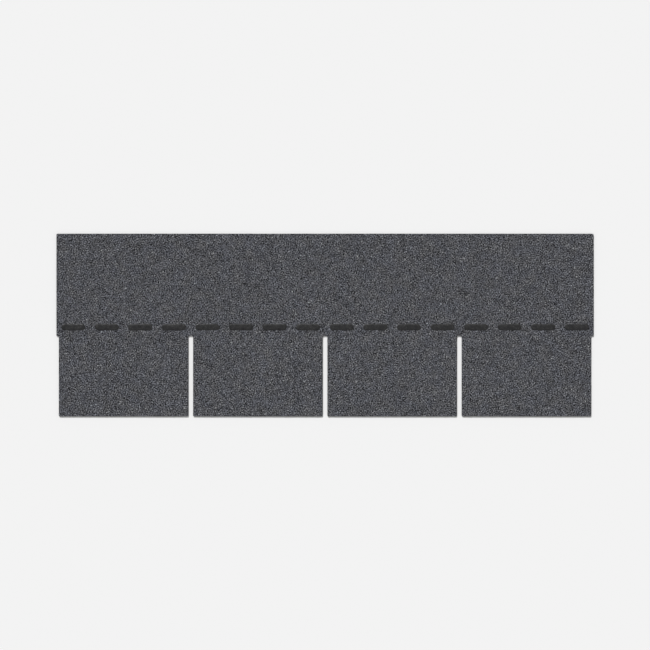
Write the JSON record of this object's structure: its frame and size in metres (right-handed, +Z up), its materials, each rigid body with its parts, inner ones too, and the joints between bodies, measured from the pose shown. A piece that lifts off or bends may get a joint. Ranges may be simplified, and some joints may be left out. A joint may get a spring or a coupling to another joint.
{
  "type": "asphalt strip shingle",
  "caption": "Flat granule-surfaced bitumen roofing strip with square tabs parted by slots, self-seal dabs above them and release film on its back.",
  "frame": {"origin": "on the surface that the shingle lies on, under the middle of its length and depth", "axes": "+X along the strip, +Y from the butt edge of the tabs to the head edge, +Z up out of the granule face"},
  "size_m": [1, 0.34, 0.0039],
  "materials": {
    "granule_sheet": "matte",
    "sealant": "satin",
    "release_film": "gloss"
  },
  "bodies": {
    "root": {"shingle_strip": "granule_sheet", "release_film": "release_film", "sealant_dab_01": "sealant", "sealant_dab_02": "sealant", "sealant_dab_03": "sealant", "sealant_dab_04": "sealant", "sealant_dab_05": "sealant", "sealant_dab_06": "sealant", "sealant_dab_07": "sealant", "sealant_dab_08": "sealant", "sealant_dab_09": "sealant", "sealant_dab_10": "sealant", "sealant_dab_11": "sealant", "sealant_dab_12": "sealant", "sealant_dab_13": "sealant", "sealant_dab_14": "sealant", "sealant_dab_15": "sealant", "sealant_dab_16": "sealant"}
  },
  "joints": []
}
